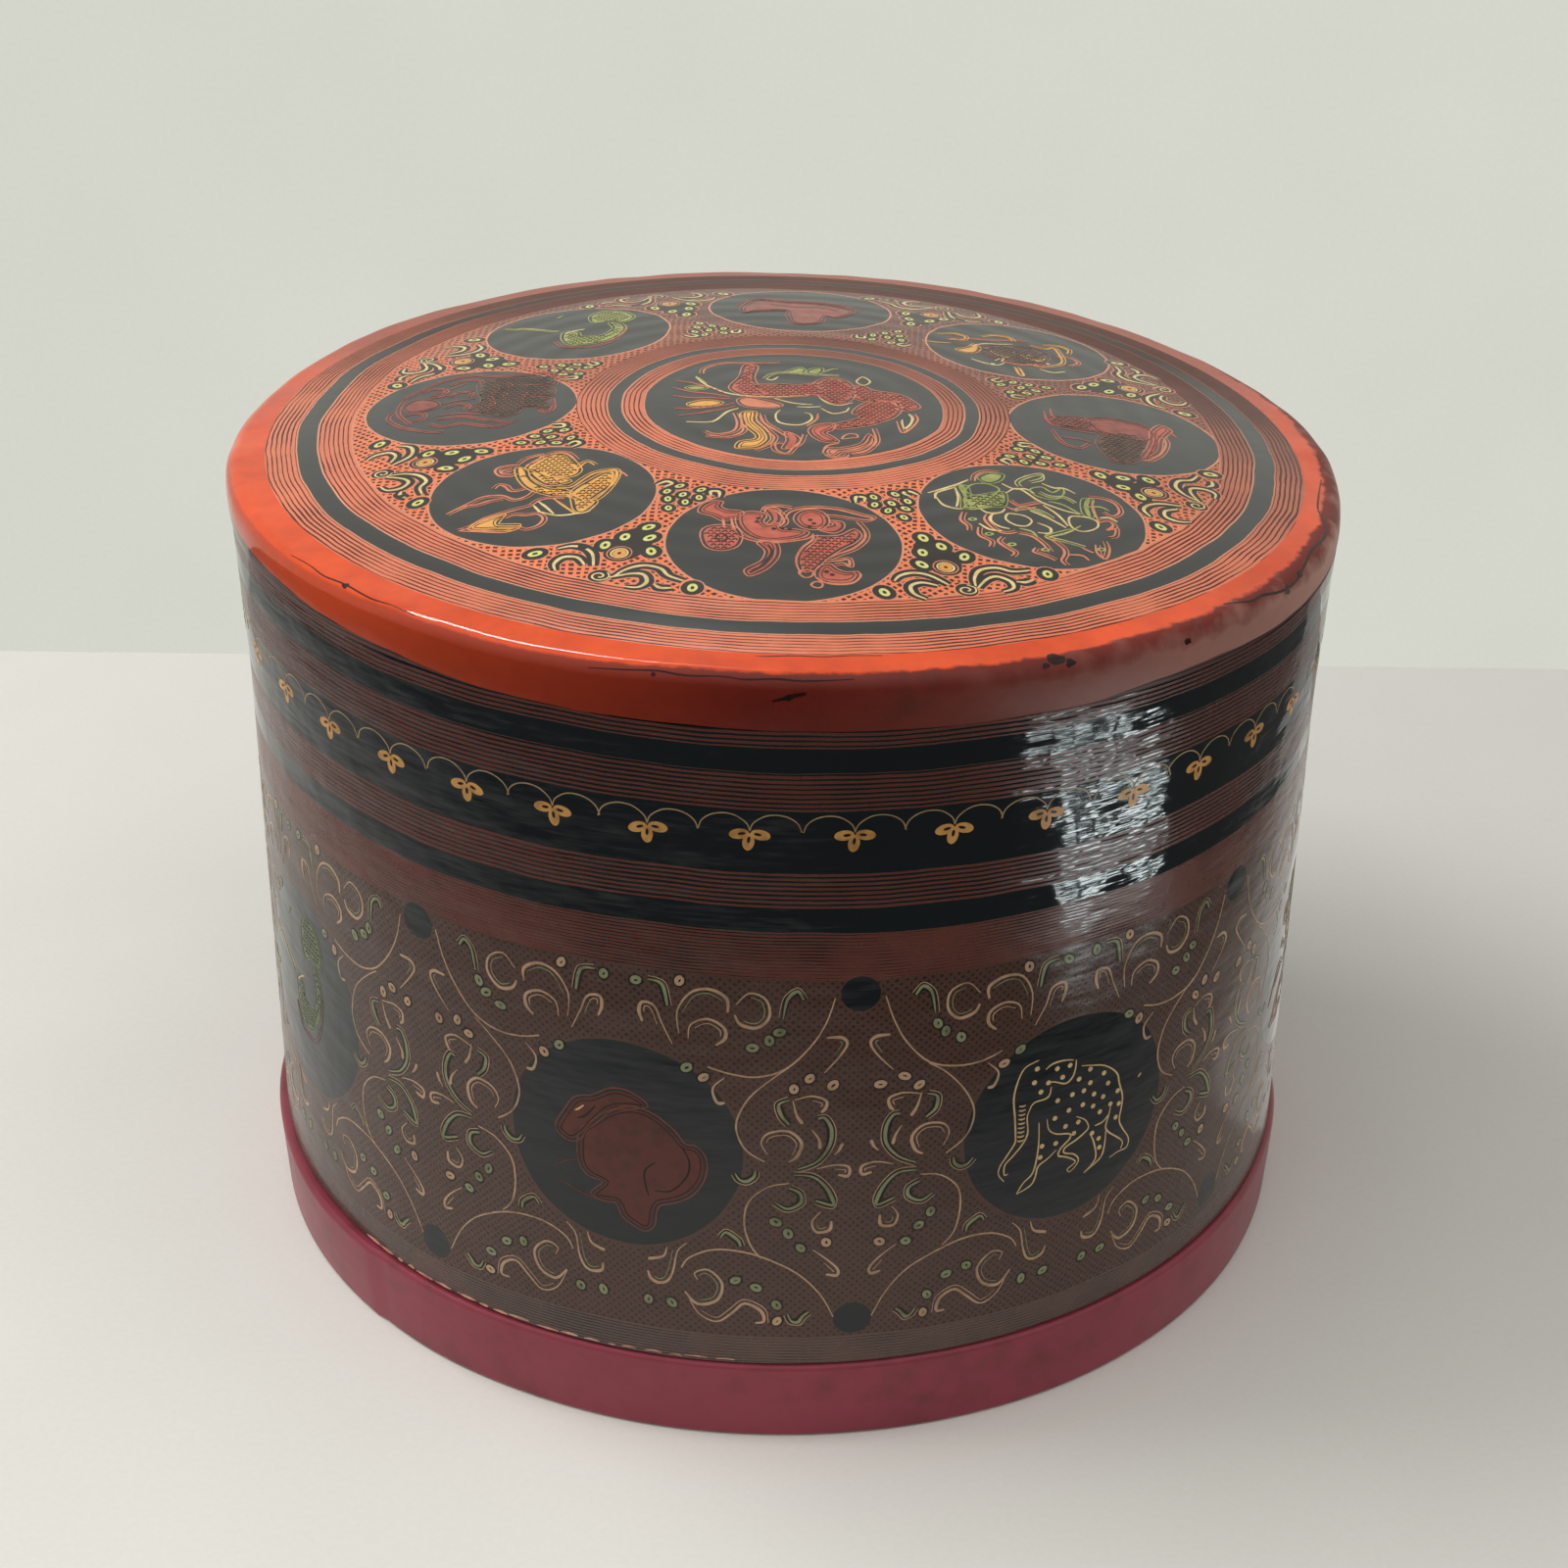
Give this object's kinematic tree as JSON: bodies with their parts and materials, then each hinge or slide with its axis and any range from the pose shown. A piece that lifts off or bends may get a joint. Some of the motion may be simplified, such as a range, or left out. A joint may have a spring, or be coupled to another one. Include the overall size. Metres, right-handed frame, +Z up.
{
  "type": "lacquer betel box",
  "caption": "Round lacquered betel box: a tall domed drum lid slides down over an inner drum with a flared foot, and shallow trays stack inside.",
  "frame": {"origin": "centre of the foot band's underside, on the surface that the box stands on", "axes": "+Z up along the axis of the drum; -Y is the front that the picture shows"},
  "size_m": [0.2026, 0.2026, 0.1578],
  "materials": {
    "engraved_lacquer": "gloss lacquer, incised and filled with colour",
    "vermilion_lacquer": "gloss lacquer",
    "crimson_lacquer": "satin lacquer",
    "inner_red_lacquer": "satin lacquer",
    "black_lacquer": "gloss lacquer"
  },
  "bodies": {
    "base": {"foot_band": "crimson_lacquer", "base_wall": "crimson_lacquer", "base_mouth_hoop": "black_lacquer", "base_floor": "inner_red_lacquer", "base_floor_hoop": "black_lacquer", "base_corner_hoop": "inner_red_lacquer", "tray_ledge": "inner_red_lacquer"},
    "lower_tray": {"lower_tray_wall": "inner_red_lacquer", "lower_tray_floor": "inner_red_lacquer", "lower_tray_rim": "black_lacquer", "lower_tray_key": "black_lacquer"},
    "upper_tray": {"upper_tray_wall": "inner_red_lacquer", "upper_tray_floor": "inner_red_lacquer", "upper_tray_rim": "black_lacquer", "upper_tray_key": "black_lacquer"},
    "lid": {"lid_wall": "engraved_lacquer", "lid_mouth_hoop": "black_lacquer", "lid_corner_hoop": "inner_red_lacquer", "lid_shoulder_hoop": "vermilion_lacquer", "lid_panel": "engraved_lacquer"}
  },
  "joints": [
    {"name": "lower_tray_lift", "type": "slide", "parent": "base", "child": "lower_tray", "axis": [0, 0, 1], "range_m": [0, 0.075]},
    {"name": "upper_tray_lift", "type": "slide", "parent": "lower_tray", "child": "upper_tray", "axis": [0, 0, 1], "range_m": [0, 0.05]},
    {"name": "lid_lift", "type": "slide", "parent": "upper_tray", "child": "lid", "axis": [0, 0, 1], "range_m": [0, 0.13]}
  ]
}
